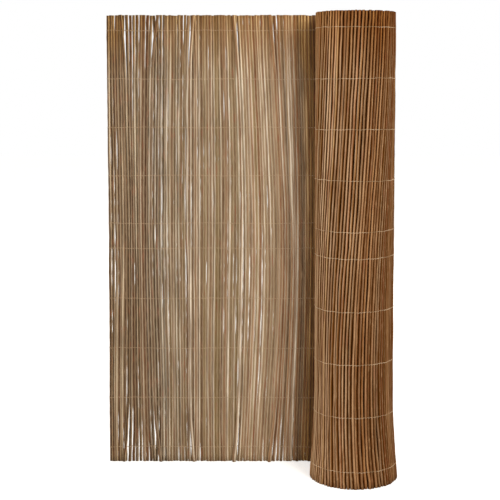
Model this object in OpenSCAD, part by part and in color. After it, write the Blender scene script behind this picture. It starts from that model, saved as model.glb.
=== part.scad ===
/* [Mat] */
// Height of the mat, from the rod ends at the floor to the rod ends at the top
mat_h = 1000; // [600:10:2000]
// Diameter of the fattest rods
fat_rod_d = 6; // [5:0.1:9]
// Diameter of the thinnest rods
thin_rod_d = 5; // [3:0.1:5]
// Clear gap between two of the fattest rods, on average
rod_gap = 0.4; // [0.3:0.1:3]
// Most that a rod end stops short of the mat's edge
end_step = 1.6; // [0:0.2:5]

/* [Unrolled panel] */
// Length that stands unrolled, from the free edge to where the roll starts
panel_l = 538; // [200:1:1600]

/* [Roll] */
// Radius of the outer turn, at the middle of its rods
roll_r = 84; // [75:1:200]
// Turns of the mat inside the outer one
inner_turns = 5; // [1:1:6]
// Clear gap between the wires of one turn and the next
turn_gap = 0.3; // [0.2:0.1:3]
// Height over which the foot of the roll splays out
splay_h = 220; // [100:5:400]
// How far the foot of the roll splays out to each side
splay = 9.5; // [1:0.5:20]
// Depth of the grooves between the turns on the ends of the roll
groove_h = 6; // [1:0.5:20]

/* [Binding wires] */
// Diameter of a binding wire
wire_d = 0.8; // [0.6:0.1:1.8]
// Clear gap between a wire and the fattest rod
wire_seat = 0.05; // [0.05:0.05:0.3]
// Distance of the first and the last wire row from the mat's edges
wire_edge = 34; // [20:1:80]
// Gap between the two wire rows in the middle
middle_gap = 56; // [30:1:100]
// How far the two middle rows sit above half height
middle_rise = 12; // [-30:1:30]

/* [Hidden] */

// Smoothness of the rods, of the wires' section and of the turns of the roll
rod_fn = 36;
wire_fn = 36;
turn_fn = 144;
// Straight steps in the curve of one splayed rod
splay_steps = 6;

// Spacing of the rods, half the thickness of the bound mat, and the radial step from turn to turn
rod_pitch = fat_rod_d + rod_gap;
strand_off = fat_rod_d / 2 + wire_seat + wire_d / 2;
mat_half = strand_off + wire_d / 2;
turn_step = 2 * mat_half + turn_gap;

// The roll is a two-centre spiral: half turns about centres half a step apart, each half a step smaller
half_step = turn_step / 2;
right_r = roll_r;
left_r = roll_r - half_step;
right_l = PI * right_r;
turn_l = right_l + PI * left_r;

// The box round the whole mat puts the origin at the middle of its foot
box_w = mat_half + panel_l + roll_r + splay + fat_rod_d / 2;
box_d = mat_half + 2 * (roll_r + splay) + fat_rod_d / 2;
free_edge_x = mat_half - box_w / 2;
roll_x = free_edge_x + panel_l;
panel_y = box_d / 2 - mat_half;
roll_y = panel_y - roll_r;

// Rods on each stretch, and the pitch that shares each stretch out evenly
panel_n = round(panel_l / rod_pitch);
panel_pitch = panel_l / (panel_n - 0.5);
turn_n = floor(turn_l / rod_pitch);
turn_pitch = turn_l / turn_n;
right_n = round(right_l / turn_pitch);

// Heights of the wire rows: five evenly spaced below the middle gap and five above it
rows_per_half = 5;
middle_z = mat_h / 2 + middle_rise;
low_rows_top = middle_z - middle_gap / 2;
high_rows_foot = middle_z + middle_gap / 2;
low_row_step = (low_rows_top - wire_edge) / (rows_per_half - 1);
high_row_step = (mat_h - wire_edge - high_rows_foot) / (rows_per_half - 1);
function row_z(row) = row < rows_per_half
    ? wire_edge + row * low_row_step
    : high_rows_foot + (row - rows_per_half) * high_row_step;

// Chance values from 0 to 1, one of each for every rod
rod_n = panel_n + turn_n;
fatness = rands(0, 1, rod_n, 23);
foot_short = rands(0, 1, rod_n, 51);
head_short = rands(0, 1, rod_n, 67);

// Radius of each rod, anywhere between that of the thinnest and of the fattest
function rod_r(i) = (thin_rod_d + (fat_rod_d - thin_rod_d) * fatness[i]) / 2;

// Rods wander along the mat in slow waves, each so many rods long. A share is the most that its wave
// takes from the gap between two neighbours, so the shares together stay under 1
long_wave = 23;
long_share = 0.5;
short_wave = 7;
short_share = 0.2;
function wave(i, rods, share, phase) = rod_gap * share * rods / (2 * PI) * sin(360 * i / rods + phase);
function drift(i, n, phase) = sin(180 * i / (n - 1))
    * (wave(i, long_wave, long_share, phase) + wave(i, short_wave, short_share, 2 * phase));
foot_phase = 40;
head_phase = 205;
function foot_drift(i, n) = drift(i, n, foot_phase);
function head_drift(i, n) = drift(i, n, head_phase);
function mid_drift(i, n) = (foot_drift(i, n) + head_drift(i, n)) / 2;
function lean(i, n) = atan((head_drift(i, n) - foot_drift(i, n)) / mat_h);

// How far the foot of the roll has grown outward at height z, to a hundredth of a millimetre
function splay_at(z) = z >= splay_h ? 0 : round(100 * splay * pow((splay_h - z) / splay_h, 2)) / 100;
// A foot that would splay less than this stays straight
least_reach = 1;

// One rod that stands upright on the origin; rod i of the whole mat
module straight_rod(i) {
    foot_z = end_step * foot_short[i];
    head_z = mat_h - end_step * head_short[i];
    translate([0, 0, foot_z])
        cylinder(h = head_z - foot_z, r = rod_r(i), $fn = rod_fn);
}

// The same rod with its foot curved out towards +X by the given reach
module splayed_rod(i, reach) {
    bend_r = (splay_h * splay_h + reach * reach) / (2 * reach);
    tilt = asin(splay_h / bend_r);
    foot_z = end_step * foot_short[i] + rod_r(i) * sin(tilt);
    bend = asin((splay_h - foot_z) / bend_r);
    head_z = mat_h - end_step * head_short[i];
    union() {
        translate([0, 0, splay_h])
            cylinder(h = head_z - splay_h, r = rod_r(i), $fn = rod_fn);
        translate([bend_r, 0, splay_h])
            rotate([0, 0, 180])
            rotate([-90, 0, 0])
            rotate_extrude(angle = bend, $fn = ceil(360 * splay_steps / bend))
            translate([bend_r, 0])
            circle(r = rod_r(i), $fn = rod_fn);
    }
}

// Leans what it holds within the mat, about half height; along is the direction of the mat
module leaned(angle, along) {
    translate([0, 0, mat_h / 2])
        rotate([0, 0, along])
        rotate([0, angle, 0])
        rotate([0, 0, -along])
        translate([0, 0, -mat_h / 2])
        children();
}

module panel_rods() {
    color("#998165")
        for (i = [0:panel_n - 1])
            translate([free_edge_x + i * panel_pitch + mid_drift(i, panel_n), panel_y, 0])
            leaned(lean(i, panel_n), 0)
            straight_rod(i);
}

// Rod k of the outer turn, counted clockwise from where the panel leaves the roll
module turn_rod(k) {
    run = (k + 0.5) * turn_pitch + mid_drift(k, turn_n);
    on_right = run < right_l;
    angle = on_right ? 90 - 180 * run / right_l : -90 - 180 * (run - right_l) / (turn_l - right_l);
    r = on_right ? right_r : left_r;
    centre_y = on_right ? roll_y : roll_y - half_step;
    // The back of the roll stays where it is, so the splay pushes each foot out and forward
    push = [cos(angle), sin(angle) - 1];
    reach = splay * norm(push);
    translate([roll_x + r * cos(angle), centre_y + r * sin(angle), 0])
        leaned(lean(k, turn_n), angle - 90)
        rotate([0, 0, atan2(push[1], push[0])])
        if (reach < least_reach)
            straight_rod(panel_n + k);
        else
            splayed_rod(panel_n + k, reach);
}

module right_turn_rods() {
    color("#7e5a39")
        for (k = [0:right_n - 1])
            turn_rod(k);
}

module left_turn_rods() {
    color("#7e5a39")
        for (k = [right_n:turn_n - 1])
            turn_rod(k);
}

// Section of half a turned core, from the bore to the outer face, with a groove between each two turns
module core_section(outer_turn_r) {
    face_r = outer_turn_r - turn_step + mat_half;
    bore_r = outer_turn_r - inner_turns * turn_step - fat_rod_d / 2;
    grooves = [for (turn = [inner_turns:-1:2]) outer_turn_r - (turn - 0.5) * turn_step];
    groove_half = mat_half - fat_rod_d / 2 + turn_gap / 2;
    foot_edge = [for (g = grooves) each [[g - groove_half, 0], [g, groove_h], [g + groove_half, 0]]];
    head_edge = [for (k = [len(foot_edge) - 1:-1:0]) [foot_edge[k][0], mat_h - foot_edge[k][1]]];
    polygon(concat([[bore_r, 0]], foot_edge, [[face_r, 0], [face_r, mat_h]], head_edge, [[bore_r, mat_h]]));
}

module wound_turns() {
    color("#6b4a2e")
    union() {
        translate([roll_x, roll_y, 0])
            rotate([0, 0, -90])
            rotate_extrude(angle = 180, $fn = turn_fn)
            core_section(right_r);
        translate([roll_x, roll_y - half_step, 0])
            rotate([0, 0, 90])
            rotate_extrude(angle = 180, $fn = turn_fn)
            core_section(left_r);
    }
}

// Half a ring of wire in the XY plane, from -90 to 90 degrees about its own centre
module wire_bend(r) {
    rotate([0, 0, -90])
        rotate_extrude(angle = 180, $fn = turn_fn)
        translate([r, 0])
        circle(d = wire_d, $fn = wire_fn);
}

// One strand from the free edge to the end of the outer turn: side is 1 outside the roll and -1 inside
module strand(side, out) {
    off = side * strand_off;
    translate([free_edge_x, panel_y + off, 0])
        rotate([0, 90, 0])
        cylinder(h = panel_l, d = wire_d, $fn = wire_fn);
    translate([roll_x, roll_y - out, 0])
        wire_bend(right_r + out + off);
    translate([roll_x, roll_y - out - half_step, 0])
        rotate([0, 0, 180])
        wire_bend(left_r + out + off);
}

// A binding wire: two strands, one on each face of the mat, joined by a loop round the first rod
module binding_wire(row) {
    out = splay_at(row_z(row));
    color("#b9a68c")
        translate([0, 0, row_z(row)])
        union() {
            strand(1, out);
            strand(-1, out);
            translate([free_edge_x, panel_y, 0])
                rotate([0, 0, 180])
                wire_bend(strand_off);
        }
}

panel_rods();
right_turn_rods();
left_turn_rods();
wound_turns();
binding_wire(0);  // binding_wire_01
binding_wire(1);  // binding_wire_02
binding_wire(2);  // binding_wire_03
binding_wire(3);  // binding_wire_04
binding_wire(4);  // binding_wire_05
binding_wire(5);  // binding_wire_06
binding_wire(6);  // binding_wire_07
binding_wire(7);  // binding_wire_08
binding_wire(8);  // binding_wire_09
binding_wire(9);  // binding_wire_10
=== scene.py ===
import math

import bpy
import numpy as np
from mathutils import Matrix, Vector


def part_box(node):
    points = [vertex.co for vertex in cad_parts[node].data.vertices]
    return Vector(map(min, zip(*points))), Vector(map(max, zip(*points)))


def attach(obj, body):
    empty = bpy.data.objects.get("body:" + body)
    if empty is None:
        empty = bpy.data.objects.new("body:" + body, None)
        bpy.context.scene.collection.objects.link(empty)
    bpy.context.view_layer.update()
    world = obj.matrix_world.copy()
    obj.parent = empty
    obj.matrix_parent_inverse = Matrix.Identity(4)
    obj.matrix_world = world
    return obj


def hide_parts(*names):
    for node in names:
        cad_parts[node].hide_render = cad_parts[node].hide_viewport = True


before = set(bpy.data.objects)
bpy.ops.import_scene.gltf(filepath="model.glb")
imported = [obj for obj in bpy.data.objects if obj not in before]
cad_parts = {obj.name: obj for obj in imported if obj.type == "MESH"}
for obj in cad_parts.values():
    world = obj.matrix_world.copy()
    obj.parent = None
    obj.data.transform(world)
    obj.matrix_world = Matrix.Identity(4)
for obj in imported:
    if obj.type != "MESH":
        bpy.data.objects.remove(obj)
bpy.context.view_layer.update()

MM = 0.001

# The mat's measures, read from the frame: heights of the wire rows, plane of the panel, place of the roll
WIRE_NODES = [f"binding_wire_{row:02d}" for row in range(1, 11)]
WIRE_D = 0.8 * MM
WIRE_STEPS = 6
WIRE_SIDES = 5
WIRE_WANDER = 0.8 * MM
PANEL_LOW, PANEL_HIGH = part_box("panel_rods")
CORE_LOW, CORE_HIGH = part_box("wound_turns")
TOP_WIRE_LOW, TOP_WIRE_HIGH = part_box(WIRE_NODES[-1])
ROW_Z = np.array([sum(corner.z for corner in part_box(name)) / 2 for name in WIRE_NODES])
MAT_H = CORE_HIGH.z
MAT_HALF = 3.85 * MM
TURN_STEP = 8 * MM
ROD_PITCH = 6.4 * MM
# Radius of the butts of the rods, and the most that an end stops short, both in millimetres
ROD_R = (2.9, 3.35)
END_STEP = 1.6
# How much stouter the rods get at the splayed foot of the roll
FOOT_STOUT = 0.3
# The rods near the free edge and near the roll stray less than those between
FREE_EDGE_CALM = 60 * MM
ROLL_CALM = 150 * MM
# The ends of the panel's rods stray by up to this much, over this share of the height at the foot and the top
END_STRAY = 0.6 * MM
END_STRAY_SHARE = 0.24
# Rods of the panel that cross in front of the next ones at the foot and the top: which one, and how far along the
# mat its ends stray. The rods beside it close in on its place by CROSSING_CLOSE, and less the further they stand
CROSSINGS = ((6, -8 * MM), (15, 12 * MM), (28, 7 * MM), (45, -6 * MM), (58, -8 * MM))
CROSSING_CLOSE = 3.2 * MM
CROSSING_SHARE = 0.13
CROSSING_LIFT = 6 * MM
# Over how many rods the closing in dies away
CROSSING_FADE = 2.5
# Where round the roll its rods stand furthest apart, in radians
CROWD_TURN = -2.2
# Bows of the panel's rods: how far, about which length of the mat and how wide a stretch of it
BOWS = ((19 * MM, 365 * MM, 88 * MM), (5 * MM, 30 * MM, 28 * MM), (-6 * MM, 90 * MM, 38 * MM))
# Twist of the roll: how far, between which lengths it comes in, the share of the height that stays in place
# and the length of the wave over the height
TWIST = 20 * MM
TWIST_FROM = 460 * MM
TWIST_FULL = 690 * MM
TWIST_NONE_Z = 0.69
TWIST_WAVE = 1.78
# How much darker and browner the foot and the top of a rod are painted than its middle, and over which share of
# the height
FOOT_DARKENING = 0.2
HEAD_DARKENING = 0.85
DARKENING_SHARE = 0.14
# Half the width of a rod's painted highlight stripe and how far it winds to and fro, in radians
HIGHLIGHT_HALF_WIDTH = 0.5
HIGHLIGHT_TWIST = 0.5
PANEL_Y = TOP_WIRE_HIGH.y - MAT_HALF
ROLL_R = (TOP_WIRE_HIGH.y - TOP_WIRE_LOW.y) / 2 - MAT_HALF
ROLL_X = TOP_WIRE_HIGH.x - MAT_HALF - ROLL_R
ROLL_Y = PANEL_Y - ROLL_R
FREE_EDGE_X = TOP_WIRE_LOW.x + MAT_HALF
PANEL_L = ROLL_X - FREE_EDGE_X
INNER_TURNS = 5
SPLAY = 9.5 * MM
SPLAY_H = 220 * MM
# The splay would be gone after this many turns
INNER_SPLAY_TURNS = 8

# The half turns of the roll: each is half a step smaller than the one before, about one of two centres
HALF_TURNS = 2 * (INNER_TURNS + 1)
HALF_R = ROLL_R - TURN_STEP / 2 * np.arange(HALF_TURNS)
HALF_END = PANEL_L + np.cumsum(math.pi * HALF_R)
HALF_START = HALF_END - math.pi * HALF_R
MAT_L = HALF_END[-1]
OUTER_END = HALF_END[1]


def mat_point(s, z):
    """Point on the middle of the mat, its outward normal and its running direction.

    s is the length along the mat from the free edge, z the height. On the panel the point is
    (edge + s, panel plane). In the roll, half turn h of radius r covers the angles from 90 degrees down
    to -90 for an even h and from -90 to -270 for an odd h, about a centre that lies half a step forward
    for an odd h. The foot splays by a parabola in z: radius and centre grow so that the back stays, and
    each turn further in splays less.
    """
    s, z = np.broadcast_arrays(s, z)
    half = np.clip(np.searchsorted(HALF_END, s), 0, HALF_TURNS - 1)
    radius = HALF_R[half]
    odd = half % 2
    angle = math.pi / 2 - math.pi * odd - (s - HALF_START[half]) / radius
    wound = s > PANEL_L
    angle = np.where(wound, angle, math.pi / 2)
    reach = SPLAY * (np.clip(SPLAY_H - z, 0, None) / SPLAY_H) ** 2 * (1 - (half // 2) / INNER_SPLAY_TURNS)
    reach = np.where(wound, reach, 0)
    cos, sin = np.cos(angle), np.sin(angle)
    x = np.where(wound, ROLL_X + radius * cos + reach * cos, FREE_EDGE_X + s)
    y = np.where(wound, ROLL_Y - odd * TURN_STEP / 2 + radius * sin + reach * (sin - 1), PANEL_Y)
    flat = np.zeros_like(x)
    return np.stack([x, y, z], -1), np.stack([cos, sin, flat], -1), np.stack([sin, -cos, flat], -1)


def set_of_mat(s, z):
    """How far the rods at length s have settled along the mat at height z, as the whole mat has warped.

    Bow of the panel: a bell curve about one length times the sine of the height over its own mean. Twist
    of the roll: a sine over height that comes in smoothly from the end of the panel onwards.
    """
    share = z / MAT_H
    bows = sum(size * np.exp(-((s - centre) / width) ** 2) for size, centre, width in BOWS)
    along = np.clip((s - TWIST_FROM) / (TWIST_FULL - TWIST_FROM), 0, 1)
    twist = TWIST * np.sin(2 * math.pi * (TWIST_NONE_Z - share) / TWIST_WAVE)
    return bows * (np.sin(math.pi * share) ** 1.3 - 0.45) + twist * along ** 2 * (3 - 2 * along)


def smooth_through(knots, values, at):
    """Cubic curve through values at the knots, with the slope at each knot that of its two neighbours."""
    slope = np.gradient(values, knots, axis=-1)
    k = np.clip(np.searchsorted(knots, at) - 1, 0, len(knots) - 2)
    step = knots[k + 1] - knots[k]
    t = (at - knots[k]) / step
    return (values[..., k] * (2 * t**3 - 3 * t**2 + 1) + slope[..., k] * step * (t**3 - 2 * t**2 + t)
            + values[..., k + 1] * (3 * t**2 - 2 * t**3) + slope[..., k + 1] * step * (t**3 - t**2))


def mesh_piece(name, points, quads, tris, materials, tri_material=1, **attributes):
    """A mesh from whole arrays: quads carry the first material and are smooth, tris the second and flat."""
    mesh = bpy.data.meshes.new(name)
    mesh.vertices.add(len(points))
    mesh.vertices.foreach_set("co", points.astype(np.float32).ravel())
    corners = np.concatenate([quads.ravel(), tris.ravel()]).astype(np.int32)
    mesh.loops.add(len(corners))
    mesh.loops.foreach_set("vertex_index", corners)
    starts = np.concatenate([4 * np.arange(len(quads)), 4 * len(quads) + 3 * np.arange(len(tris))])
    mesh.polygons.add(len(starts))
    mesh.polygons.foreach_set("loop_start", starts.astype(np.int32))
    is_tri = np.arange(len(starts)) >= len(quads)
    mesh.polygons.foreach_set("material_index", (is_tri * tri_material).astype(np.int32))
    mesh.polygons.foreach_set("use_smooth", ~is_tri)
    for attribute, values in attributes.items():
        layer = mesh.attributes.new(attribute, "FLOAT", "POINT")
        layer.data.foreach_set("value", values.astype(np.float32).ravel())
    for material in materials:
        mesh.materials.append(material)
    mesh.update(calc_edges=True)
    mesh.validate()
    piece = bpy.data.objects.new(name, mesh)
    bpy.context.scene.collection.objects.link(piece)
    return piece


def tube_faces(tubes, rings, sides):
    """Corner numbers of the quads of many tubes, each a run of rings with the same number of sides."""
    tube, ring, side = np.meshgrid(np.arange(tubes), np.arange(rings - 1), np.arange(sides), indexing="ij")
    base = (tube * rings + ring) * sides
    after = (side + 1) % sides
    return np.stack([base + side, base + after, base + sides + after, base + sides + side], -1).reshape(-1, 4)


def end_faces(tubes, rings, sides, hearts):
    """Fans that close both ends of each tube round a heart vertex; hearts is the number of the first one."""
    tube, side = np.meshgrid(np.arange(tubes), np.arange(sides), indexing="ij")
    after = (side + 1) % sides
    foot = tube * rings * sides
    head = foot + (rings - 1) * sides
    low = np.stack([foot + after, foot + side, hearts + 2 * tube], -1)
    high = np.stack([head + side, head + after, hearts + 2 * tube + 1], -1)
    return np.concatenate([low, high]).reshape(-1, 3)


class Rods:
    """Centre lines, radii and tones of a run of willow rods, as smooth curves over height.

    The place of a rod along the mat is the sum of a slow wave that its neighbours share, a lean of its
    own, a small shift at each wire row, and now and then a bow between two rows. tones and hues are pairs
    of a length along the mat and the mean tone or hue of the rods there. pale is where round the rod its
    painted highlight, a pale stripe, runs, in turns from the running direction, how far that strays and the
    least strength of the stripe; highlight_strengths are pairs of a length and a factor for that strength there.
    damps are pairs of a length and how much darker and browner the colour is painted there,
    from 0 to 1; beside the roll this is the roll's painted shadow. crowding is the share by which the rods are
    thinned out, and made a little slimmer, round the left of the roll and crowded round its right; stout are
    pairs of a length and a factor for the rods' thickness there.
    """

    def __init__(self, first_s, last_s, seed, wave, lean, shift, bow, lift, tones, hues, spread, pale,
                 crowding=0.0, stout=((0, 1), (1, 1)), highlight_strengths=((0, 1), (1, 1)), damps=((0, 0), (1, 0))):
        count = int(round((last_s - first_s) / ROD_PITCH))
        pitch = (last_s - first_s) / count
        chance = np.random.default_rng(seed)
        self.count = count
        turned = 2 * math.pi * (np.arange(count) + 0.5) / count
        crowd = crowding * np.sin(turned + CROWD_TURN)
        self.s = first_s + (np.arange(count) + 0.5) * pitch - crowding * (last_s - first_s) / (2 * math.pi) * (
            np.cos(turned + CROWD_TURN) - math.cos(CROWD_TURN))
        rows = np.concatenate([[0], ROW_Z, [MAT_H]])
        self.knots = np.sort(np.concatenate([rows, (rows[1:] + rows[:-1]) / 2]))
        between = ~np.isin(self.knots, rows)
        shape = (count, len(self.knots))
        heights = self.knots[None, :] / MAT_H
        waves = sum(size * np.sin(2 * math.pi * (np.arange(count)[:, None] / period + turns * heights
                                                 + chance.random()))
                    for size, period, turns in ((1.0, 48, 0.9), (0.5, 29, -1.4), (0.2, 13, 2.1)))
        waves *= np.clip(self.s[:, None] / FREE_EDGE_CALM, 0, 1)
        calm = np.where(self.s < PANEL_L, np.clip((PANEL_L - self.s) / ROLL_CALM, 0.3, 1), 1)[:, None]
        ends = chance.uniform(-1, 1, (2, count, 1))
        leans = ends[0] * (1 - heights) + ends[1] * heights
        bows = between * chance.uniform(-1, 1, shape) ** 3
        shifts = chance.uniform(-1, 1, shape)
        self.sway = MM * calm * (wave * waves + lean * leans + shift * shifts + bow * bows)
        self.sway += set_of_mat(self.s[:, None], self.knots)
        self.lift = MM * lift * np.where(between, 1.0, 0.4) * chance.uniform(-1, 1, shape)
        stout_places, stout_factors = np.array(stout).T
        butt = MM * chance.uniform(*ROD_R, count) * np.interp(self.s, MM * stout_places, stout_factors)
        butt *= 1 + crowd / 2
        tip = butt * chance.uniform(0.88, 0.97, count)
        up = chance.random(count) < 0.5
        self.foot_r = np.where(up, butt, tip)
        self.head_r = np.where(up, tip, butt)
        self.low = MM * END_STEP * chance.random(count) ** 2
        self.high = MAT_H - MM * END_STEP * chance.random(count) ** 2
        tone_places, tone_means = np.array(tones).T
        hue_places, hue_means = np.array(hues).T
        self.tone = np.interp(self.s, MM * tone_places, tone_means) + spread * chance.uniform(-1, 1, count)
        self.hue = np.interp(self.s, MM * hue_places, hue_means) + 0.45 * chance.uniform(-1, 1, count)
        highlight_turn, highlight_spread, highlight_least = pale
        self.highlight_at = 2 * math.pi * (highlight_turn + highlight_spread * chance.uniform(-1, 1, count))
        self.highlight_twist = chance.uniform(-1, 1, count)
        highlight_places, highlight_factors = np.array(highlight_strengths).T
        self.pale = chance.uniform(highlight_least, 1, count) * np.interp(self.s, MM * highlight_places, highlight_factors)
        damp_places, damp_shares = np.array(damps).T
        self.damp = np.interp(self.s, MM * damp_places, damp_shares)
        stray = np.clip(1 - np.minimum(heights, 1 - heights) / END_STRAY_SHARE, 0, 1) ** 2
        on_panel = (self.s < PANEL_L)[:, None]
        self.sway += END_STRAY * calm * stray * on_panel * chance.uniform(-1, 1, (count, 1))
        if first_s < PANEL_L:
            bend = np.clip(1 - np.minimum(heights, 1 - heights) / CROSSING_SHARE, 0, 1)
            for rod, reach in CROSSINGS:
                away = (np.arange(count) - rod)[:, None]
                close = -CROSSING_CLOSE * np.sign(away) * np.exp((1 - np.abs(away)) / CROSSING_FADE)
                self.sway += np.where(away == 0, reach, close) * bend ** 1.5
                self.lift[rod] -= CROSSING_LIFT * np.clip(4 * bend[0], 0, 1)

    def along(self, z):
        """Length along the mat at which each rod stands, at each height of z."""
        return self.s[:, None] + smooth_through(self.knots, self.sway, z)

    def proud(self, z):
        """How far each rod's middle stands out of the mat's own middle, at each height of z."""
        return smooth_through(self.knots, self.lift, z)

    def radius(self, z):
        """Radius of each rod: an even taper from foot to head, and a little stouter where the roll splays."""
        share = z / MAT_H
        stouter = np.where(self.s > PANEL_L, FOOT_STOUT, 0)[:, None] * np.clip(1 - z / SPLAY_H, 0, 1) ** 2
        return (self.foot_r[:, None] * (1 - share) + self.head_r[:, None] * share) * (1 + stouter)


def rod_piece(name, rods, rings, sides, materials):
    """One mesh of many rods: circles of each rod's radius carried along its centre line, closed at the ends.

    Point = middle + radius * (cos a * running direction + sin a * outward normal), for each height and
    each angle a; each circle swells and shrinks a little, as bark does at its buds. The attribute face is
    |sin a|: 1 on the faces of the mat and 0 where a rod meets its neighbours.
    """
    share = np.linspace(0, 1, rings)
    z = rods.low[:, None] + (rods.high - rods.low)[:, None] * share
    nominal = share * MAT_H
    middle, normal, running = mat_point(rods.along(nominal), z)
    middle = middle + rods.proud(nominal)[..., None] * normal
    knobs = 1 + 0.06 * np.sin(60 * rods.hue[:, None] + 130 * share * (1 + rods.hue[:, None]))
    radius = rods.radius(nominal) * knobs
    around = np.linspace(0, 2 * math.pi, sides, endpoint=False)
    out = (np.cos(around)[:, None] * running[..., None, :] + np.sin(around)[:, None] * normal[..., None, :])
    points = middle[..., None, :] + radius[..., None, None] * out
    hearts = np.stack([middle[:, 0], middle[:, -1]], 1).reshape(-1, 3)
    ring_points = points.reshape(-1, 3)
    quads = tube_faces(rods.count, rings, sides)
    tris = end_faces(rods.count, rings, sides, len(ring_points))
    tone, hue = (np.concatenate([np.repeat(value, rings * sides), np.repeat(value, 2)])
                 for value in (rods.tone, rods.hue))
    # Painted darkening: darker and browner towards the foot and the top of each rod, on top of the rod's own
    # share, which beside the roll paints the roll's shadow
    ends = (FOOT_DARKENING * np.clip(1 - share / DARKENING_SHARE, 0, 1)
            + HEAD_DARKENING * np.clip(1 - (1 - share) / DARKENING_SHARE, 0, 1))
    damp = np.clip(rods.damp[:, None] + ends, 0, 1)
    damp = np.concatenate([np.repeat(damp, sides), np.zeros(2 * rods.count)])
    face = np.concatenate([np.tile(np.abs(np.sin(around)), rods.count * rings), np.zeros(2 * rods.count)])
    rim = np.concatenate([np.ones(len(ring_points)), np.zeros(2 * rods.count)])
    # Painted highlight: a pale stripe down each rod, winding a little round it
    stripe = rods.highlight_at[:, None] + HIGHLIGHT_TWIST * rods.highlight_twist[:, None] * np.sin(2 * math.pi * share)
    # The highlight stripe shows on both faces of the mat, so the angle from it is taken within a quarter turn
    off = (around - stripe[..., None] + math.pi / 2) % math.pi - math.pi / 2
    pale = rods.pale[:, None, None] * np.exp(-(off / HIGHLIGHT_HALF_WIDTH) ** 2)
    pale = np.concatenate([pale.ravel(), np.zeros(2 * rods.count)])
    return mesh_piece(name, np.concatenate([ring_points, hearts]), quads, tris, materials,
                      tone=tone, hue=hue, damp=damp, face=face, pale=pale, rim=rim)


def wire_points(stretches, row_z, side):
    """Middle of one strand of a twined wire along all the rods of the stretches, at a wire row.

    u counts the rods. The strand stands off the mat's middle by the rod's radius and its own times the
    square root of |cos(pi u)|, on the face of the mat that cos(pi u) names, and rises and falls by its own
    radius times sin(pi u), so that the two strands pass each other between the rods.
    """
    z = np.array([row_z])
    s_rod = np.concatenate([rods.along(z)[:, 0] for rods in stretches])
    proud = np.concatenate([rods.proud(z)[:, 0] for rods in stretches])
    grip = np.concatenate([rods.radius(z)[:, 0] for rods in stretches]) + WIRE_D / 2
    # Where rods cross, the wire takes them in the order in which they stand at its height
    order = np.argsort(s_rod)
    s_rod, proud, grip = s_rod[order], proud[order], grip[order]
    count = len(s_rod)
    u = np.linspace(-0.5, count - 1, WIRE_STEPS * count)
    inside = np.clip(u, 0, None)
    numbers = np.arange(count)
    s = np.interp(inside, numbers, s_rod) + 2 * grip[0] * np.clip(u, None, 0)
    stand_off = np.interp(inside, numbers, grip)
    swing = np.cos(math.pi * u)
    off = side * stand_off * np.sign(swing) * np.sqrt(np.abs(swing)) + np.interp(inside, numbers, proud)
    rise = side * WIRE_D * 0.55 * np.sin(math.pi * u) + WIRE_WANDER * np.sin(
        2 * math.pi * u / 37 + 900 * row_z) + WIRE_WANDER / 2 * np.sin(2 * math.pi * u / 5.3 + 500 * row_z)
    middle, normal, _ = mat_point(s, np.full_like(s, row_z))
    return middle + off[:, None] * normal + rise[:, None] * np.array([0, 0, 1])


def wire_piece(name, stretches, row_z, material):
    """A twined wire: for each strand a circle carried along its middle line, square to its direction."""
    strands = np.stack([wire_points(stretches, row_z, side) for side in (1, -1)])
    rings = strands.shape[1]
    ahead = np.gradient(strands, axis=1)
    ahead /= np.linalg.norm(ahead, axis=-1, keepdims=True)
    across = np.cross(ahead, np.array([0.0, 0.0, 1.0]))
    across /= np.linalg.norm(across, axis=-1, keepdims=True)
    above = np.cross(ahead, across)
    around = np.linspace(0, 2 * math.pi, WIRE_SIDES, endpoint=False)
    out = np.cos(around)[:, None] * across[..., None, :] + np.sin(around)[:, None] * above[..., None, :]
    points = (strands[..., None, :] + WIRE_D / 2 * out).reshape(-1, 3)
    hearts = np.stack([strands[:, 0], strands[:, -1]], 1).reshape(-1, 3)
    quads = tube_faces(2, rings, WIRE_SIDES)
    tris = end_faces(2, rings, WIRE_SIDES, len(points))
    return mesh_piece(name, np.concatenate([points, hearts]), quads, tris, [material], tri_material=0)


def linear(hex_colour):
    """Linear RGBA of an sRGB hex colour such as #a08060."""
    parts = [int(hex_colour[i:i + 2], 16) / 255 for i in (1, 3, 5)]
    return [c / 12.92 if c <= 0.04045 else ((c + 0.055) / 1.055) ** 2.4 for c in parts] + [1.0]


def add(tree, kind, settings=None, **inputs):
    """Adds a node; settings are its own properties, inputs its sockets: a value, or a socket to link."""
    node = tree.nodes.new(kind)
    for key, value in (settings or {}).items():
        setattr(node, key, value)
    for key, value in inputs.items():
        socket = node.inputs[int(key[1:])] if key[1:].isdigit() else node.inputs[key.replace("_", " ")]
        if isinstance(value, bpy.types.NodeSocket):
            tree.links.new(value, socket)
        else:
            socket.default_value = value
    return node


def new_material(name):
    """A material without nodes, and its node tree."""
    material = bpy.data.materials.new(name)
    material.use_nodes = True
    tree = material.node_tree
    tree.nodes.clear()
    return material, tree


def ramp(tree, factor, *stops):
    """Colour ramp from pairs of a place and a hex colour."""
    node = add(tree, "ShaderNodeValToRGB", Fac=factor)
    elements = node.color_ramp.elements
    while len(elements) < len(stops):
        elements.new(0.5)
    for element, (place, colour) in zip(elements, stops):
        element.position = place
        element.color = linear(colour)
    return node.outputs["Color"]


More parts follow.
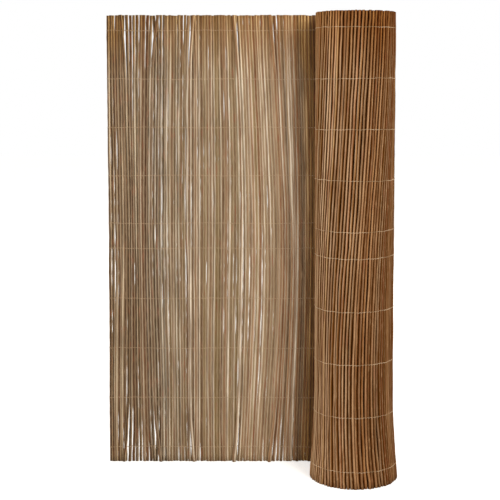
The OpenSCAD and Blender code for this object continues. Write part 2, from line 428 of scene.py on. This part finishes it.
def willow_bark(name, tones, painted_side_shading, depth, stripe, highlight_share, gloss):
    """Willow bark: matt with a faint gloss, streaked along the rod, with painted shading on its sides and a
    painted highlight stripe.

    painted_side_shading is the colour painted on the sides that face the next rods, and depth its share
    there: dark as painted shade between the rods of the roll, pale as painted light from behind through the
    gaps of the panel. stripe is the colour of the painted highlight stripe, and highlight_share its share
    there. gloss is the level of the reflections.
    """
    material, tree = new_material(name)
    place = add(tree, "ShaderNodeTexCoord").outputs["Object"]
    tone, hue, damp, face, pale = (add(tree, "ShaderNodeAttribute", {"attribute_name": key}).outputs["Fac"]
                                   for key in ("tone", "hue", "damp", "face", "pale"))
    stretched = add(tree, "ShaderNodeMapping", Vector=place, Scale=(1, 1, 0.06)).outputs["Vector"]
    # Streaks a millimetre wide and some 15 mm long; patches 5 mm wide and 80 mm long
    streak = add(tree, "ShaderNodeTexNoise", Vector=stretched, Scale=1 / (1.3 * MM), Detail=3.0).outputs["Fac"]
    patch = add(tree, "ShaderNodeTexNoise", Vector=stretched, Scale=1 / (7 * MM), Detail=2.0).outputs["Fac"]
    mixed = add(tree, "ShaderNodeMath", {"operation": "MULTIPLY_ADD"}, _0=patch, _1=0.8, _2=-0.4).outputs[0]
    shade = add(tree, "ShaderNodeMath", {"operation": "ADD"}, _0=tone, _1=mixed).outputs[0]
    base = ramp(tree, shade, *tones)
    tint = ramp(tree, hue, (0.0, "#7c7a48"), (0.35, "#857d70"), (0.65, "#928482"), (1.0, "#a06c42"))
    tinted = add(tree, "ShaderNodeMix", {"data_type": "RGBA", "blend_type": "SOFT_LIGHT"}, Factor=0.75,
                 _6=base, _7=tint).outputs[2]
    dark = add(tree, "ShaderNodeMapRange", Value=streak, From_Min=0.42, From_Max=0.3, To_Max=0.6)
    darker = add(tree, "ShaderNodeMix", {"data_type": "RGBA"}, Factor=dark.outputs["Result"],
                 _6=tinted, _7=linear(tones[0][1])).outputs[2]
    light = add(tree, "ShaderNodeMapRange", Value=streak, From_Min=0.56, From_Max=0.7, To_Max=0.5)
    lighter = add(tree, "ShaderNodeMix", {"data_type": "RGBA"}, Factor=light.outputs["Result"],
                  _6=darker, _7=linear(tones[-1][1])).outputs[2]
    # Reddish flecks 6 mm wide and 40 mm long, where the bark of young shoots keeps its colour
    shorter = add(tree, "ShaderNodeMapping", Vector=place, Scale=(1, 1, 0.15)).outputs["Vector"]
    blush = add(tree, "ShaderNodeTexNoise", Vector=shorter, Scale=1 / (6 * MM), Detail=2.0).outputs["Fac"]
    red = add(tree, "ShaderNodeMapRange", Value=blush, From_Min=0.58, From_Max=0.7, To_Max=0.55)
    blushed = add(tree, "ShaderNodeMix", {"data_type": "RGBA"}, Factor=red.outputs["Result"],
                  _6=lighter, _7=linear("#84492f")).outputs[2]
    # Painted shading on the sides that face the next rods: painted shade between the rods of the roll, painted
    # light from behind through the gaps of the panel
    side = add(tree, "ShaderNodeMapRange", {"interpolation_type": "SMOOTHSTEP"}, Value=face,
               From_Min=0.97, From_Max=0.65, To_Max=depth).outputs["Result"]
    sided = add(tree, "ShaderNodeMix", {"data_type": "RGBA"}, Factor=side,
                _6=blushed, _7=linear(painted_side_shading)).outputs[2]
    # The painted highlight stripe fades in and out along the rod over some 100 mm
    fade = add(tree, "ShaderNodeMapRange", Value=patch, From_Min=0.38, From_Max=0.58,
               To_Min=0.4 * highlight_share, To_Max=highlight_share)
    striped = add(tree, "ShaderNodeMath", {"operation": "MULTIPLY"}, _0=pale, _1=fade.outputs["Result"])
    highlit = add(tree, "ShaderNodeMix", {"data_type": "RGBA"}, Factor=striped.outputs[0],
              _6=sided, _7=linear(stripe)).outputs[2]
    # Painted darkening, multiplied in darker and browner; beside the roll it paints the roll's shadow on the
    # panel, warmed by the roll's bounce
    colour = add(tree, "ShaderNodeMix", {"data_type": "RGBA", "blend_type": "MULTIPLY"}, Factor=damp,
                 _6=highlit, _7=linear("#e2c390")).outputs[2]
    bump = add(tree, "ShaderNodeBump", Height=streak, Strength=0.35, Distance=0.4 * MM).outputs["Normal"]
    shader = add(tree, "ShaderNodeBsdfPrincipled", Base_Color=colour, Roughness=0.75, Specular_IOR_Level=gloss,
                 Normal=bump)
    add(tree, "ShaderNodeOutputMaterial", Surface=shader.outputs["BSDF"])
    return material


def cut_willow(name):
    """Sawn end of a willow rod: a pale ring of wood round a brown pith, under a thin dark bark."""
    material, tree = new_material(name)
    rim = add(tree, "ShaderNodeAttribute", {"attribute_name": "rim"}).outputs["Fac"]
    place = add(tree, "ShaderNodeTexCoord").outputs["Object"]
    grain = add(tree, "ShaderNodeTexNoise", Vector=place, Scale=1 / (0.9 * MM), Detail=2.0).outputs["Fac"]
    mixed = add(tree, "ShaderNodeMath", {"operation": "MULTIPLY_ADD"}, _0=grain, _1=0.2, _2=-0.1).outputs[0]
    shade = add(tree, "ShaderNodeMath", {"operation": "ADD"}, _0=rim, _1=mixed).outputs[0]
    colour = ramp(tree, shade, (0.0, "#6b4a2a"), (0.22, "#a98a62"), (0.75, "#bfa57c"), (0.95, "#5d4128"))
    shader = add(tree, "ShaderNodeBsdfPrincipled", Base_Color=colour, Roughness=0.8, IOR=1.45)
    add(tree, "ShaderNodeOutputMaterial", Surface=shader.outputs["BSDF"])
    return material


def drawn_wire(name):
    """Drawn steel binding wire with a thin zinc coat, dulled and browned, most along the unrolled panel."""
    material, tree = new_material(name)
    place = add(tree, "ShaderNodeTexCoord").outputs["Object"]
    depth = add(tree, "ShaderNodeSeparateXYZ", Vector=place).outputs["Y"]
    open_air = add(tree, "ShaderNodeMapRange", Value=depth, From_Min=PANEL_Y - 15 * MM,
                   From_Max=PANEL_Y - 5 * MM, To_Max=0.75).outputs["Result"]
    # Tarnish comes and goes over some 30 mm
    spots = add(tree, "ShaderNodeTexNoise", Vector=place, Scale=1 / (30 * MM), Detail=3.0).outputs["Fac"]
    bright = ramp(tree, spots, (0.38, "#a08058"), (0.6, "#e6c8a2"))
    colour = add(tree, "ShaderNodeMix", {"data_type": "RGBA"}, Factor=open_air,
                 _6=bright, _7=linear("#b8a080")).outputs[2]
    shader = add(tree, "ShaderNodeBsdfPrincipled", Base_Color=colour, Metallic=0.2, Roughness=0.5)
    add(tree, "ShaderNodeOutputMaterial", Surface=shader.outputs["BSDF"])
    return material


# Painted light and shade on the bark: on the panel the sides that face the next rods are painted pale, as light
# from behind through the gaps, and each rod has a painted highlight stripe on the flank the key lamp lights; on
# the roll the sides are painted dark, as shade between the rods, and the highlight stripe runs on the ridges
PANEL_BARK = willow_bark("weathered_willow_bark", [(0.0, "#4e3720"), (0.35, "#70573c"), (0.7, "#91795c"),
                                                   (1.0, "#ad9478")],
                         painted_side_shading="#ceb48e", depth=0.4, stripe="#f2e4cc", highlight_share=1.0, gloss=0.2)
ROLL_BARK = willow_bark("warm_willow_bark", [(0.0, "#744f2b"), (0.4, "#946b40"), (0.75, "#ab8454"),
                                             (1.0, "#c6a47a")],
                        painted_side_shading="#5a3104", depth=1.0, stripe="#dab792", highlight_share=0.75, gloss=0.06)
# The inner turns get a darker, browner copy of the bark, painted shade inside the roll
SHADED_BARK = willow_bark("shaded_willow_bark", [(0.0, "#5a300a"), (0.4, "#6b3d10"), (0.75, "#7d4f1e"),
                                                 (1.0, "#8f6028")],
                          painted_side_shading="#5a2e08", depth=0.9, stripe="#94683a", highlight_share=0.3, gloss=0.06)
CUT_END = cut_willow("cut_willow_end")
WIRE = drawn_wire("dulled_binding_wire")

# Tones are darker towards the free edge, and lightest past the middle of the panel. From some 420 mm to the
# roll the dip in tone, the orange hue and the darkening paint the roll's shadow on the panel, warmed by the
# roll's bounce; the colour is also darkened towards the free edge, and behind the roll towards the roll's colour
panel = Rods(0, PANEL_L, seed=5, wave=1.1, lean=0.4, shift=0.2, bow=0.9, lift=0.6, spread=0.26,
             tones=[(0, -0.27), (60, -0.06), (110, 0.2), (220, 0.45), (270, 0.58), (330, 0.72), (400, 0.7),
                    (425, 0.45), (450, -0.2), (480, 0), (538, -0.1)],
             hues=[(0, 0.5), (300, 0.45), (380, 0.75), (430, 1.0), (456, 1.0), (480, 0.7), (538, 1)], pale=(-0.12, 0.06, 0.15),
             stout=[(0, 1.13), (230, 1.15), (300, 1.22), (360, 1.2), (430, 1.24), (538, 1.24)],
             highlight_strengths=[(0, 1.15), (60, 1), (120, 0.85), (200, 1.15), (250, 1.3), (400, 1.35), (440, 1.8), (450, 1.2), (460, 0.6)],
             damps=[(0, 0.45), (50, 0.37), (100, 0.04), (418, 0), (434, 0.7), (448, 1),
                    (456, 1), (480, 0.5), (538, 0.85)])
# The roll's rods are darker round its right and the right of its front, and lighter round its left; their pale
# stripe is a painted highlight on the outward faces
outer = Rods(PANEL_L, OUTER_END, seed=8, wave=2.0, lean=0.6, shift=0.25, bow=1.2, lift=0.8, spread=0.35,
             tones=[(538, 0.6), (650, 0.1), (670, 0), (740, 0.05), (820, 0.5), (900, 0.75)],
             hues=[(0, 0.5), (1, 0.5)], pale=(0.25, 0.06, 0.3), crowding=0.08,
             stout=[(700, 1), (780, 0.95), (860, 0.92), (900, 0.85), (930, 0.91), (960, 1)],
             highlight_strengths=[(670, 0.3), (740, 0.5), (800, 0.9), (850, 1), (900, 1.5)],
             damps=[(538, 0), (600, 0.1), (700, 0.16), (735, 0.08), (765, 0.45), (810, 0.08), (850, 0)])
inner = Rods(OUTER_END, MAT_L, seed=13, wave=2.0, lean=0.5, shift=0.2, bow=1.0, lift=0.3, spread=0.35,
             tones=[(0, 0.5), (1, 0.5)], hues=[(0, 0.6), (1, 0.6)], pale=(0.25, 0.06, 0.3))

panel_piece = rod_piece("panel_willow_rods", panel, rings=64, sides=12, materials=[PANEL_BARK, CUT_END])
outer_piece = rod_piece("outer_turn_willow_rods", outer, rings=64, sides=12, materials=[ROLL_BARK, CUT_END])
inner_piece = rod_piece("inner_turn_willow_rods", inner, rings=16, sides=8, materials=[SHADED_BARK, CUT_END])
for piece, slot, nodes in (
    (panel_piece, "weathered_willow", ["panel_rods"]),
    (outer_piece, "willow_bark", ["right_turn_rods", "left_turn_rods"]),
    (inner_piece, "inner_willow", ["wound_turns"]),
):
    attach(piece, "root")
    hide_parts(*nodes)

for row, (node, z) in enumerate(zip(WIRE_NODES, ROW_Z), 1):
    piece = wire_piece(f"twined_wire_{row:02d}", [panel, outer], z, WIRE)
    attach(piece, "root")
    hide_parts(node)


def pale_floor():
    """A wide white floor that shows the shadow but is otherwise as white as the background."""
    size = 12
    corners = np.array([[-size, -size, 0], [size, -size, 0], [size, size, 0], [-size, size, 0]], float)
    material, tree = new_material("matt_white_floor_paint")
    matt = add(tree, "ShaderNodeBsdfDiffuse", Color=linear("#f4f4f2"))
    glow = add(tree, "ShaderNodeEmission", Color=linear("#ffffff"), Strength=0.55)
    seen = add(tree, "ShaderNodeLightPath").outputs["Is Camera Ray"]
    none = add(tree, "ShaderNodeEmission", Strength=0.0)
    extra = add(tree, "ShaderNodeMixShader", Fac=seen, _1=none.outputs[0], _2=glow.outputs[0])
    both = add(tree, "ShaderNodeAddShader", _0=matt.outputs[0], _1=extra.outputs[0])
    add(tree, "ShaderNodeOutputMaterial", Surface=both.outputs[0])
    floor = mesh_piece("floor", corners, np.array([[0, 1, 2, 3]]), np.zeros((0, 3), int), [material])


def soft_world():
    """Even light from all round; the background is white for the camera, for gloss and for glass."""
    world = bpy.data.worlds.new("soft_studio")
    bpy.context.scene.world = world
    world.use_nodes = True
    tree = world.node_tree
    tree.nodes.clear()
    path = add(tree, "ShaderNodeLightPath")
    either = add(tree, "ShaderNodeMath", {"operation": "MAXIMUM"},
                 _0=path.outputs["Is Camera Ray"], _1=path.outputs["Is Glossy Ray"]).outputs[0]
    seen = add(tree, "ShaderNodeMath", {"operation": "MAXIMUM"},
               _0=either, _1=path.outputs["Is Transmission Ray"]).outputs[0]
    lit = add(tree, "ShaderNodeBackground", Color=linear("#fffbf4"), Strength=0.55)
    white = add(tree, "ShaderNodeBackground", Color=linear("#ffffff"), Strength=1.0)
    mixed = add(tree, "ShaderNodeMixShader", Fac=seen, _1=lit.outputs[0], _2=white.outputs[0])
    add(tree, "ShaderNodeOutputWorld", Surface=mixed.outputs[0])


def soft_lamp(name, place, target, size, power):
    """A square area lamp that faces its target."""
    lamp = bpy.data.lights.new(name, "AREA")
    lamp.shape = "SQUARE"
    lamp.size = size
    lamp.energy = power
    holder = bpy.data.objects.new(name, lamp)
    bpy.context.scene.collection.objects.link(holder)
    holder.location = place
    holder.rotation_euler = (Vector(target) - Vector(place)).to_track_quat("-Z", "Y").to_euler()


# The eye is near the height of the mat's top and looks almost level along +Y, so the view is shifted down
EYE_H = 0.835
EYE_BACK = 2.45
PITCH = math.radians(4)
FOCAL_PX = 1149
FRAME_PX = 500
AXIS_PX = 170.6


def studio_camera():
    """The camera: lens = focal length in pixels / frame in pixels * sensor width, shift from the axis's row."""
    camera = bpy.data.cameras.new("camera")
    camera.sensor_width = 36
    camera.lens = FOCAL_PX / FRAME_PX * camera.sensor_width
    camera.shift_y = (AXIS_PX - FRAME_PX / 2) / FRAME_PX
    holder = bpy.data.objects.new("camera", camera)
    holder.location = (0, -EYE_BACK, EYE_H)
    holder.rotation_euler = (math.pi / 2 - PITCH, 0, 0)
    bpy.context.scene.collection.objects.link(holder)
    bpy.context.scene.camera = holder


pale_floor()
soft_world()
middle = (0, 0, MAT_H / 2)
soft_lamp("key", (1.7, -2.8, 2.2), middle, 1.3, 75)
soft_lamp("fill", (-2.4, -2.4, 1.6), middle, 2.0, 30)
soft_lamp("back", (0.5, 3.0, 2.4), middle, 2.0, 40)
studio_camera()
bpy.context.scene.view_settings.view_transform = "Standard"
